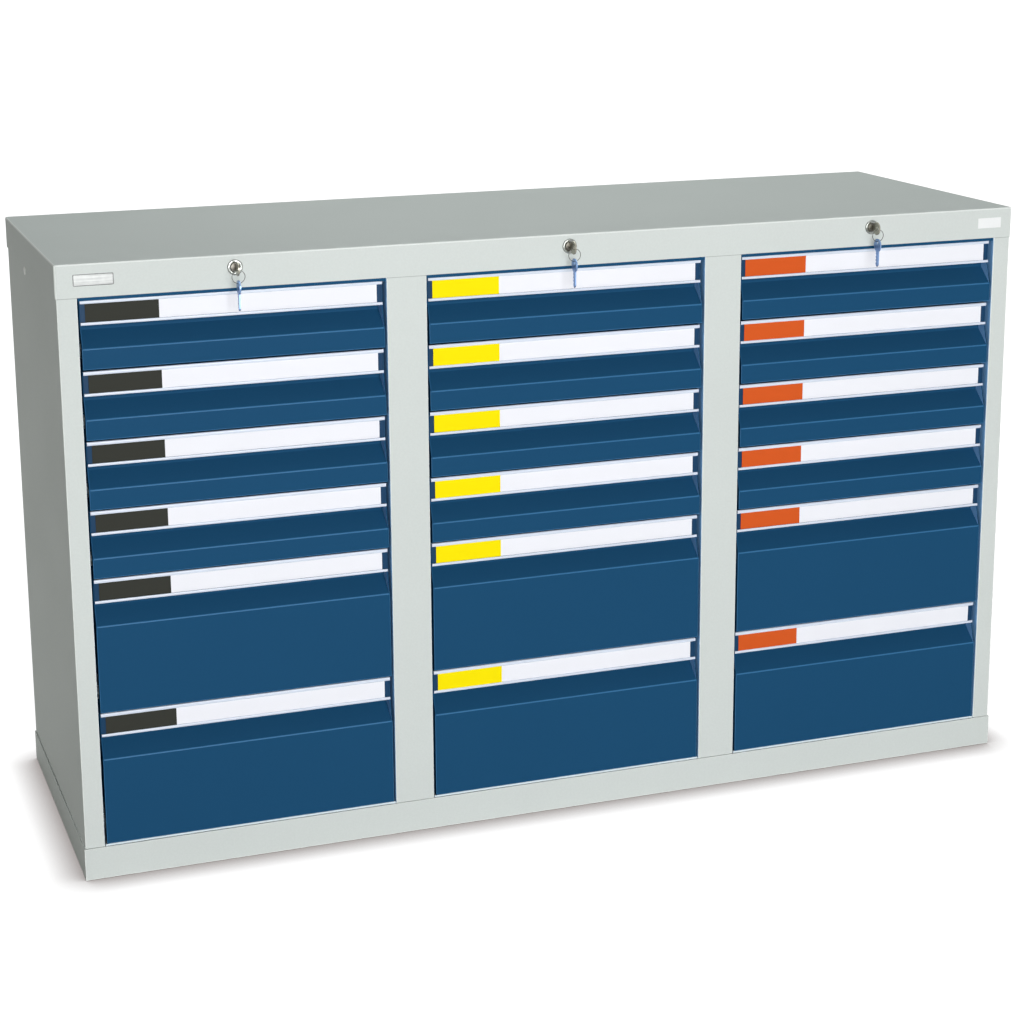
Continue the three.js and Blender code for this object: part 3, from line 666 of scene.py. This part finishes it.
@dataclass
class Housing:
    """Everything that stands still: cap, panels, dividers, back, floor and plinth."""

    radius: float = 1.2
    cap_crisp: float = 50.0
    flat_cosine: float = 0.97
    rounded: tuple[str, ...] = (
        "side_panel_left", "side_panel_right", "divider_1", "divider_2",
        "base_plinth", "back_panel", "floor_panel",
    )

    def build(self) -> None:
        """Dresses each of its nodes."""
        # the second paint goes on the roundings as a painted highlight
        paints = [HOUSING_PAINT, HOUSING_HIGHLIGHT_PAINT]
        for node in self.rounded:
            Piece(f"{node}_painted", "housing", paints, node).from_node(node, self.radius, 1)
        self.cap(Piece("top_cap_painted", "housing", paints, "top_cap"))

    def cap(self, piece: Piece) -> None:
        """Dresses the cap: the CAD rounds its folds already, so they only get the lighter paint of a painted
        highlight.
        """
        mesh = piece.plates("top_cap")
        smoothed(mesh, self.cap_crisp)
        # faces that turn between the flat plates take the painted highlight
        painted(mesh, np.abs(read(mesh.polygons, "normal", 3)).max(1) < self.flat_cosine)
        piece.flatten(piece.settle(mesh))


@dataclass
class FasciaTrim:
    """Bare plate and bare label on the fascia, painted shade at its seams, the side plugs, and linings and sills
    of the openings that carry painted light and shade.
    """

    plate: Quad = (26.0, 80.0, 870.0, 884.5)
    plate_rim: float = 0.9
    label: Quad = (1439.0, 1480.0, 869.0, 885.0)
    plug: Pair = (311.0, 844.0)
    plug_radius: float = 6.5
    plug_crown: float = 1.3
    side_face: float = 1.8
    width: float = 3 * COLUMN_WIDTH
    stile: float = 30.0
    lining: float = 0.25
    lining_gap: float = 0.06
    strip_gap: float = 1.06
    lining_depths: Pair = (3.0, 33.5)
    lining_heights: Pair = (49.0, 852.6)
    # blue strip in the gap under the fascia: painted shade standing in for the shaded drawer top
    head_shade_strip: Quad = (847.9, 852.6, 3.0, 3.4)
    # sill strip: painted highlight where the plinth's ledge catches light
    sill: Quad = (48.4, 51.1, 2.6, 3.0)
    # seam strips: painted shade line under the fascia's foot
    seam: Quad = (851.9, 852.8, 1.1, 1.5)
    seam_spans: tuple[Pair, ...] = ((2.2, 29.6), (470.4, 529.6), (970.4, 1029.6), (1470.4, 1497.8))

    def build(self) -> None:
        """Makes the trim."""
        rim = tuple(self.plate_rim * np.array([-1, 1, -1, 1]) + self.plate)
        # dark rim: painted shade round the plate
        self.flat_piece("bare_plate_shade_rim", PLATE_RIM_SHADE, rim, 1.4, 0.4)
        self.flat_piece("bare_plate", BRUSHED, self.plate, 1.0, 0.7)
        self.flat_piece("bare_label", VINYL, self.label, 0.6, 0.25)
        self.side_plug("left", self.side_face, 1.0)
        self.side_plug("right", self.width - self.side_face, -1.0)
        # painted shade lines at the fascia's seams
        for number, span in enumerate(self.seam_spans, 1):
            self.strip(f"fascia_seam_{number}", self.seam, span, SEAM_SHADE_PAINT)
        for number, left in enumerate(COLUMN_LEFTS, 1):
            self.linings(number, left)

    def flat_piece(self, name: str, finish: Finish, span: Quad, corner: float, thickness: float) -> None:
        """Makes a thin plate that lies on the fascia, a hair in front of it."""
        left, right, low, high = span
        shell = domed_plate(right - left, high - low, corner, thickness, thickness * 0.4)
        middle = ((left + right) / 2, -0.04, (low + high) / 2)
        Piece(name, "housing", [finish]).from_shell(moved(shell, middle))

    def side_plug(self, name: str, face: float, way: float) -> None:
        """Makes a domed plug: its radius falls as a quarter ellipse from the rim to the crown.

        Args:
            name: Which side it is on.
            face: The side's face.
            way: Direction into the cabinet.
        """
        crown = arc((0.0, 0.0), (self.plug_radius, self.plug_crown), 0, 88, 9)
        profile = np.concatenate([[[self.plug_radius * 0.98, 0.0]], crown])
        points, faces = turned(profile, 48)
        across = np.stack([face - way * (0.05 + points[:, 1]), points[:, 0], points[:, 2]], -1)
        shell = moved((across, faces), (0.0, *self.plug))
        Piece(f"side_hole_plug_{name}", "housing", [PLUG_CAP]).from_shell(shell)

    def strip(self, name: str, section: Quad, span: Pair, paint: Finish) -> None:
        """Makes a thin strip that runs along X: its section is a rectangle of height and depth.

        Args:
            name: The piece's name.
            section: Foot, head, front and back.
            span: Left and right end.
            paint: Its finish.
        """
        foot, head, front, back = section
        outline = np.array([[front, foot], [back, foot], [back, head], [front, head]])
        Piece(name, "housing", [paint]).from_shell(carried(outline, np.array(span)))

    def linings(self, number: int, left: float) -> None:
        """Makes one column's strips inside the stiles and under the fascia, and its sill: the right strip is
        painted light, the head strip painted shade, the sill a painted highlight.
        """
        near, far = left + self.stile, left + COLUMN_WIDTH - self.stile
        hair, across = self.lining_gap, (near + self.strip_gap, far - self.strip_gap)
        side = self.lining_heights + self.lining_depths
        lining = f"opening_lining_{number}"
        self.strip(f"{lining}_left", side, (near + hair, near + hair + self.lining), DRAWER_PAINT)
        # right strip: light blue, painted light on the stile's inner face
        self.strip(f"{lining}_right", side, (far - hair - self.lining, far - hair), CHEEK_LIGHT_PAINT)
        # head strip: painted shade of the drawer top seen through the gap
        self.strip(f"{lining}_head", self.head_shade_strip, across, DRAWER_PAINT)
        self.strip(f"opening_sill_{number}", self.sill, across, SILL_HIGHLIGHT_PAINT)


# Drawers


@dataclass
class Drawer:
    """One drawer: its painted pan and front, the clear rail, the paper strip and the colour tag."""

    column: int
    row: int
    left: float
    top: float
    tag: TagColour
    rounding: float = 1.2
    front_right: float = 466.5
    sheet: float = 1.5
    rail_setback: float = 9.5
    rail_wall: float = 0.9
    rail_groove: float = 1.2
    rail_height: float = 35.0
    upper_lip: float = 5.0
    lower_lip: float = 4.0
    bead: float = 0.8
    rail_span: Pair = (34.5, 465.5)
    paper_span: Pair = (41.4, 457.6)
    tag_span: Pair = (41.2, 143.5)
    paper_depth: float = 0.55
    tag_depth: float = 0.15
    card: float = 0.2
    slip_gap: float = 0.1
    wave_height: float = 0.12
    wave_length: float = 37.0
    ledge: Pair = (4.0, 31.0)
    painted_light_depth: float = 30.0

    @property
    def key(self) -> str:
        """Column and row, as the CAD names them."""
        return f"{self.column}_{self.row}"

    @property
    def body(self) -> str:
        """The CAD body of the drawer's pieces."""
        return f"drawer_{self.key}"

    def build(self) -> None:
        """Makes the four pieces."""
        self.pan()
        self.rail()
        self.slips()

    def pan(self) -> None:
        """Rounds the folds of the pan and front with a painted highlight, and paints the inner right cheek light
        blue as painted light.
        """
        paints = [DRAWER_PAINT, CHEEK_LIGHT_PAINT, FOLD_HIGHLIGHT_PAINT]
        piece = Piece(f"{self.body}_painted", self.body, paints, self.body)
        mesh = piece.from_node(self.body, self.rounding, 2, self.ledge).data
        x, depth, _ = centres(mesh).T
        # faces of the inner right cheek take the light blue of painted light
        cheek = self.left + self.front_right - self.sheet
        inward = read(mesh.polygons, "normal", 3)[:, 0] < -0.9
        painted(mesh, inward & (np.abs(x - cheek) < 0.3) & (depth < self.painted_light_depth))

    def rail_section(self) -> np.ndarray:
        """Section of the rail in Y and Z: a U that opens to the front, with a half round bead on each lip.

        The front of a lip is an elliptic arc, as high as the lip and as deep as the bead. The groove
        behind the lips is as deep as its wall says, and the web closes it at the back.
        """
        groove = self.rail_setback + self.rail_wall
        web = groove + self.rail_groove
        back = web + self.rail_wall
        foot, top = self.top - self.rail_height, self.top
        high, low = self.upper_lip / 2, self.lower_lip / 2
        upper = arc((self.rail_setback, top - high), (self.bead, high), 90, 270, 9)
        lower = arc((self.rail_setback, foot + low), (self.bead, low), 90, 270, 9)
        inner = np.array([
            [groove, top - self.upper_lip], [groove, top - self.rail_wall], [web, top - self.rail_wall],
            [web, foot + self.rail_wall], [groove, foot + self.rail_wall], [groove, foot + self.lower_lip],
        ])
        outer = np.array([[back, foot], [back, top]])
        return np.concatenate([upper, inner, lower, outer])

    def rail(self) -> None:
        """Makes the clear rail: its lips carry a near-white tone, painted light that clear lips catch, and its
        web lets the paint behind it show.
        """
        stations = self.left + np.linspace(*self.rail_span, 9)
        finishes = [RAIL_LIP_GLOW, RAIL_WEB, RAIL_END]
        piece = Piece(f"label_rail_{self.key}_clear", self.body, finishes, f"label_rail_{self.key}")
        mesh = piece.from_shell(carried(self.rail_section(), stations), 40.0).data
        height = centres(mesh)[:, 2] - self.top
        web = (height < -self.upper_lip) & (height > self.lower_lip - self.rail_height)
        end = np.abs(read(mesh.polygons, "normal", 3)[:, 0]) > 0.9
        painted(mesh, np.where(end, 2, web))

    def slip(self, span: Pair, depth: float, margin: float, phase: float) -> Shell:
        """A slip of card in the groove, which bows a little between its lips.

        Depth is the base depth, plus the wave's height times the sine of the length, times a half sine
        across the height. Ring i is the front and back edge of the slip at station i.

        Args:
            span: Left and right end.
            depth: Depth of its front face in the groove.
            margin: Height that is left free in the groove.
            phase: Start of the wave.

        Returns:
            The points and the faces.
        """
        x = np.linspace(*span, 40)[:, None]
        share = np.linspace(0.0, 1.0, 8)
        foot = self.top - self.rail_height + self.rail_wall + self.slip_gap
        height = self.rail_height - 2 * self.rail_wall - 2 * self.slip_gap - margin
        wave = self.wave_height * np.sin(x / self.wave_length + phase) * np.sin(math.pi * share)
        y = self.rail_setback + self.rail_wall + depth + wave
        front = np.stack(np.broadcast_arrays(x + self.left, y, foot + height * share), -1)
        back = front[:, ::-1] + [0.0, self.card, 0.0]
        return loft(np.concatenate([front, back], axis=1))

    def slips(self) -> None:
        """Makes the white strip in the rail, and the coloured slip in front of its left end."""
        phase = 2 * self.column + self.row
        paper = self.slip(self.paper_span, self.paper_depth, 0.4, phase)
        Piece(f"label_paper_{self.key}", self.body, [PAPER]).from_shell(paper)
        tag = self.slip(self.tag_span, self.tag_depth, 0.2, phase + 0.1)
        Piece(f"label_tag_{self.key}", self.body, [self.tag.finish()]).from_shell(tag)


@dataclass
class DrawerColumn:
    """Six drawers over each other, four shallow and two deep."""

    number: int
    left: float
    tag: TagColour
    rows: tuple[float, ...] = (100.0, 100.0, 100.0, 100.0, 200.0, 200.0)
    head: float = 850.0
    head_gap: float = 2.5

    def build(self) -> None:
        """Builds the column's drawers from the top down."""
        tops = self.head - (np.cumsum(self.rows) - self.rows)
        for row, top in enumerate(tops, 1):
            Drawer(self.number, row, self.left, float(top) - self.head_gap, self.tag).build()


# Locks


@dataclass
class Lock:
    """A cylinder lock with its turning key, wire ring, spare key and lock bar."""

    number: int
    middle: float
    height: float = 882.0
    rosette: float = 11.0
    rosette_face: float = -2.8
    rolled: Pair = (1.6, 1.4)
    mouth: Pair = (0.9, 0.6)
    barrel: float = 9.0
    barrel_length: float = 24.0
    thread_turns: int = 35
    thread_depth: float = 0.35
    nut: float = 12.5
    nut_span: Pair = (1.8, 5.8)
    plug: float = 6.5
    plug_setback: float = 0.5
    clearance: float = 0.3
    cam: float = 9.0
    cam_span: Pair = (24.3, 26.8)
    pin_throw: float = 6.0
    pin_radius: float = 2.0
    pin_end: float = 31.7
    key_thickness: float = 2.2
    bow: float = 10.0
    hole: float = 2.5
    hole_offset: float = 4.5
    blade_half: float = 3.8
    blade_root: float = 1.2
    key_centre: float = -16.0
    key_blade: float = 16.0
    spare_blade: float = 24.0
    spare_bits: int = 4
    ring_radius: float = 9.2
    wire: float = 0.42
    wire_lay: float = 0.95
    hole_play: float = 0.5
    cad_wire: float = 0.8
    bar_rounding: float = 0.8

    @property
    def axis(self) -> Triple:
        """The lock's axis at the fascia."""
        return (self.middle, 0.0, self.height)

    @property
    def ring_drop(self) -> float:
        """How far the ring's middle hangs below the middle of a key's hole."""
        return self.hole - self.hole_play - self.cad_wire + self.ring_radius

    def build(self) -> None:
        """Makes the lock's pieces."""
        self.cylinder()
        self.turning_key()
        self.wire_ring()
        self.spare_key()
        node = f"lock_bar_{self.number}"
        Piece(f"{node}_plated", node, [ZINC], node).from_node(node, self.bar_rounding)

    def cylinder(self) -> None:
        """Makes the rosette with its rolled edge, the barrel and the nut, round the open bore."""
        bore, face, back = self.plug + self.clearance, self.rosette_face, -self.clearance
        (out, roll), (flare, sink), (front, rear) = self.rolled, self.mouth, self.nut_span
        rim = arc((self.rosette - out, face + roll), (out, roll), -90, 0, 9)
        well = arc((bore + flare, face + sink), (flare, sink), 180, 270, 6)
        groove = np.array([[1.6, 0.0], [1.7, 0.25], [2.0, 0.25], [2.1, 0.0]]) + [bore, face]
        threads = np.linspace(7.0, self.barrel_length - 1, self.thread_turns)
        barrel = np.stack([self.barrel - self.thread_depth * (np.arange(self.thread_turns) % 2), threads], -1)
        profile = np.concatenate([
            well, groove, rim,
            [[self.rosette, back], [self.barrel, back], [self.barrel, front], [self.nut, front],
             [self.nut, rear], [self.barrel, rear]],
            barrel, [[self.barrel, self.barrel_length], [bore, self.barrel_length]],
        ])
        node = f"lock_cylinder_{self.number}"
        piece = Piece(f"{node}_nickel", "housing", [NICKEL], node)
        piece.from_shell(moved(bored(profile, 72), self.axis), 30.0)

    def turning_key(self) -> None:
        """Makes the plug, the cam with its pin and the key that sits in the plug."""
        face = self.rosette_face + self.plug_setback
        front, back = self.cam_span
        plug = turned(np.array([
            [0.2, face], [self.plug - 0.5, face], [self.plug - 0.15, face + 0.12], [self.plug, face + 0.5],
            [self.plug, front], [self.cam, front], [self.cam, back], [0.2, back],
        ]), 64)
        offset = -self.pin_throw * math.sqrt(0.5)
        pin = turned(np.array([
            [self.pin_radius, (front + back) / 2], [self.pin_radius, self.pin_end - 0.3],
            [self.pin_radius - 0.3, self.pin_end],
        ]), 24)
        points, faces = self.flat_key(self.key_blade, 0)
        x, y, z = points.T
        key = (np.stack([x, self.key_centre - z, y], -1), faces)
        shell = joined([plug, moved(pin, (offset, 0.0, offset)), key])
        node = f"lock_key_{self.number}"
        piece = Piece(f"{node}_steel", f"key_{self.number}", [KEY_STEEL, PLUG_STEEL], node)
        mesh = piece.from_shell(moved(shell, self.axis), 30.0).data
        painted(mesh, centres(mesh)[:, 1] > face - 0.1)

    def flat_key(self, blade: float, bits: int) -> Shell:
        """A flat key, thick along X, hanging along Z with its bow round the origin.

        Args:
            blade: Length of the blade under the bow.
            bits: Number of bits cut in one edge.

        Returns:
            The points and the faces.
        """
        return joined([self.key_bow(), self.key_ribbon(blade, bits)])

    def key_bow(self) -> Shell:
        """The bow, a closed ring: at each angle its section runs from hole to rim, with small chamfers."""
        half, soft = self.key_thickness / 2, 0.3
        way = circle(72)[:, None, ::-1]
        edge = np.array([0.0, soft, 1.0 - soft, 1.0, 1.0, 1.0 - soft, soft, 0.0])
        thick = np.array([-half + soft, -half, -half, -half + soft, half - soft, half, half, half - soft])
        inner = way * self.hole + [0.0, self.hole_offset]
        outer = way * self.bow
        reach = np.linalg.norm(outer - inner, axis=-1)
        share = np.where(edge < 0.5, edge / reach, 1.0 - (1.0 - edge) / reach)[..., None]
        flat = inner + (outer - inner) * share
        x = np.broadcast_to(thick[:, None], flat.shape[:2] + (1,))
        return loft(np.concatenate([x, flat], -1), closed=True)

    def key_ribbon(self, blade: float, bits: int) -> Shell:
        """The blade, a pointed ribbon with a milled groove, cut in by triangular waves for the bits."""
        plain, taper, least = 3.0, 3.2, 0.4
        top = -math.sqrt(self.bow**2 - self.blade_half**2) + self.blade_root
        tip = top - self.blade_root - blade
        z = np.linspace(top, tip + 0.2, 97)[:, None]
        turns = (z - top) / (blade + self.blade_root) * (bits + 1) * 2
        waves = np.abs(turns % 2 - 1) if bits else np.ones_like(z)
        cut = np.where((z < top - plain) & (z > tip + plain), (1 - waves) * self.blade_half * 0.55, 0.0)
        point = np.clip((z - tip) / taper, 0.0, 1.0)
        left = -self.blade_half * point
        right = np.maximum(self.blade_half - cut, least) * point
        near, past = (left + (right - left) * share for share in (0.36, 0.5))
        y = np.concatenate([left, near, near, past, past, right, right, left], axis=1)
        deep = self.key_thickness / 2 * 0.9
        x = deep * np.array([-1.0, -1.0, -0.5, -0.5, -1.0, -1.0, 1.0, 1.0])
        return loft(np.stack(np.broadcast_arrays(x, y, z), -1))

    def wire_ring(self) -> None:
        """Makes the split ring: a wire that winds twice round Y and moves back by two wires as it goes."""
        whole = 4 * math.pi
        turn, around = np.linspace(0.0, whole, 161)[:, None], circle(10)
        radius = self.ring_radius + self.wire * around[:, 0]
        y = (turn / whole - 0.5) * 2 * self.wire * self.wire_lay + self.wire * around[:, 1]
        rings = np.stack([radius * np.sin(turn), y, radius * np.cos(turn)], -1)
        node = f"key_ring_{self.number}"
        piece = Piece(f"{node}_wire", f"ring_{self.number}", [RING_WIRE], node)
        piece.from_shell(self.hung(loft(rings), self.ring_drop), 50.0)

    def spare_key(self) -> None:
        """Makes the second key, which hangs from the ring."""
        shell = self.flat_key(self.spare_blade, self.spare_bits)
        node = f"spare_key_{self.number}"
        piece = Piece(f"{node}_steel", f"spare_{self.number}", [BLUED_STEEL], node)
        piece.from_shell(self.hung(shell, 2 * self.ring_drop + self.hole_offset), 30.0)

    def hung(self, shell: Shell, drop: float) -> Shell:
        """The shell, moved under the hole of the turning key."""
        return moved(shell, (self.middle, self.key_centre - self.hole_offset, self.height - drop))


# Studio


@dataclass
class SoftBox:
    """A square area lamp."""

    name: str
    location: Triple
    aim: Triple
    size: float
    power: float
    colour: Triple = (1.0, 1.0, 1.0)

    def build(self) -> None:
        """Hangs the lamp and turns it towards its aim."""
        lamp = bpy.data.lights.new(self.name, "AREA")
        lamp.shape = "SQUARE"
        lamp.size = self.size
        lamp.energy = self.power
        lamp.color = self.colour
        holder = stood(self.name, lamp)
        holder.location = self.location
        way = Vector(self.aim) - Vector(self.location)
        holder.rotation_euler = way.to_track_quat("-Z", "Y").to_euler()


@dataclass
class Studio:
    """Floor, lamps, surroundings and camera."""

    ambient: float = 0.03
    floor_size: float = 60.0
    floor_level: float = -0.0005
    floor_fade: Pair = (1.0, 2.2)
    floor_tone: float = 0.62
    floor_glow: float = 0.87
    floor_light: float = 1.18
    contact_reach: float = 0.055
    contact_power: float = 1.8
    painted_shadow_tint: Quad = (0.12, 0.08, 0.07, 1.0)
    camera_place: Triple = (-1.1695, -3.21845, 1.3856)
    camera_turn: Triple = (-19.868, 90.0 - 13.175, -0.348)
    lens: float = 77.52
    camera_shift: float = -0.0996
    lamps: list[SoftBox] = field(default_factory=lambda: [
        SoftBox("front box", (-0.3, -5.2, 1.4), (0.0, 0.0, 0.4), 2.8, 232.0),
        SoftBox("overhead box", (0.5, 0.2, 3.8), (0.1, 0.0, 0.9), 2.2, 26.0, (0.95, 1.0, 0.985)),
        SoftBox("rear box", (0.8, 3.4, 3.6), (0.1, 0.0, 0.45), 1.8, 50.0, (0.95, 1.0, 0.985)),
        SoftBox("low left box", (-4.3, 0.9, 0.45), (0.0, 0.0, 0.45), 0.8, 17.0, (1.0, 1.0, 0.92)),
        SoftBox("low rear box", (0.4, 3.9, 0.45), (0.0, 0.0, 0.45), 0.8, 52.0),
        SoftBox("low right box", (4.3, 0.9, 0.45), (0.0, 0.0, 0.45), 0.8, 44.0),
    ])

    def build(self) -> None:
        """Builds the stage."""
        bpy.context.scene.view_settings.view_transform = "Standard"
        self.camera()
        self.floor()
        self.surroundings()
        for lamp in self.lamps:
            lamp.build()

    def camera(self) -> None:
        """Stands the camera where the photograph was taken from."""
        lens = bpy.data.cameras.new("photo camera")
        lens.lens = self.lens
        lens.sensor_width = 36.0
        lens.shift_y = self.camera_shift
        holder = stood("photo camera", lens)
        pan, tilt, roll = (math.radians(a) for a in self.camera_turn)
        turn = Matrix.Rotation(pan, 4, "Z") @ Matrix.Rotation(tilt, 4, "X") @ Matrix.Rotation(roll, 4, "Z")
        holder.matrix_world = Matrix.Translation(self.camera_place) @ turn
        bpy.context.scene.camera = holder

    def floor(self) -> None:
        """Lays the floor."""
        half, level = self.floor_size / 2, self.floor_level
        mesh = bpy.data.meshes.new("floor")
        corners = [(-half, -half, level), (half, -half, level), (half, half, level), (-half, half, level)]
        mesh.from_pydata(corners, [], [(0, 1, 2, 3)])
        mesh.materials.append(self.floor_paint())
        floor = stood("floor", mesh)

    def floor_paint(self) -> Material:
        """Makes its paint: matt for the lamps, white for the eye, with a painted shadow that darkens its glow
        near the object.
        """
        bench = ShaderBench("floor paint")
        tone = bench.shaded((self.floor_tone,) * 3 + (1.0,), bench.noise(bench.place, 3.0), 0.01)
        bench.set(Base_Color=tone, Roughness=0.9, Specular_IOR_Level=0.0)
        far = bench.add("ShaderNodeVectorMath", Vector=bench.place)
        far.operation = "LENGTH"
        fade = bench.mapped(far.outputs["Value"], *self.floor_fade, self.floor_glow, 1.0)
        # occlusion darkens the glow near the object: a painted shadow
        open_sky = bench.add("ShaderNodeAmbientOcclusion", Distance=self.contact_reach)
        tint = bench.add("ShaderNodeMix")
        tint.data_type = "RGBA"
        bench.feed(tint.inputs[0], bench.combined("POWER", open_sky.outputs["AO"], self.contact_power))
        bench.feed(tint.inputs[6], self.painted_shadow_tint)
        bench.feed(tint.inputs[7], WHITE)
        glow = bench.add("ShaderNodeEmission", Color=tint.outputs[2], Strength=self.floor_light)
        mix = bench.add("ShaderNodeMixShader", Fac=bench.combined("MULTIPLY", fade, bench.seen()))
        bench.feed(mix.inputs[1], bench.surface.outputs[0])
        bench.feed(mix.inputs[2], glow.outputs[0])
        bench.feed(bench.tree.nodes["Material Output"].inputs["Surface"], mix.outputs[0])
        return bench.material

    def surroundings(self) -> None:
        """Makes the world white for the eye and dim for the paint."""
        world = bpy.data.worlds.new("studio")
        bpy.context.scene.world = world
        world.use_nodes = True
        bench = NodeBench(world.node_tree)
        background = bench.tree.nodes["Background"]
        bench.feed(background.inputs["Color"], WHITE)
        bench.feed(background.inputs["Strength"], bench.mapped(bench.seen(), 0.0, 1.0, self.ambient, 1.0))


def main() -> None:
    """Builds the stage and dresses the cabinet, one sub-assembly after the other."""
    logging.basicConfig(level=logging.INFO, format="%(name)s: %(message)s")
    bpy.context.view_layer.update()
    Studio().build()
    Housing().build()
    FasciaTrim().build()
    for number, (left, tag) in enumerate(zip(COLUMN_LEFTS, TagColour), 1):
        DrawerColumn(number, left, tag).build()
        Lock(number, left + COLUMN_WIDTH / 2).build()


if __name__ == "__main__":
    main()
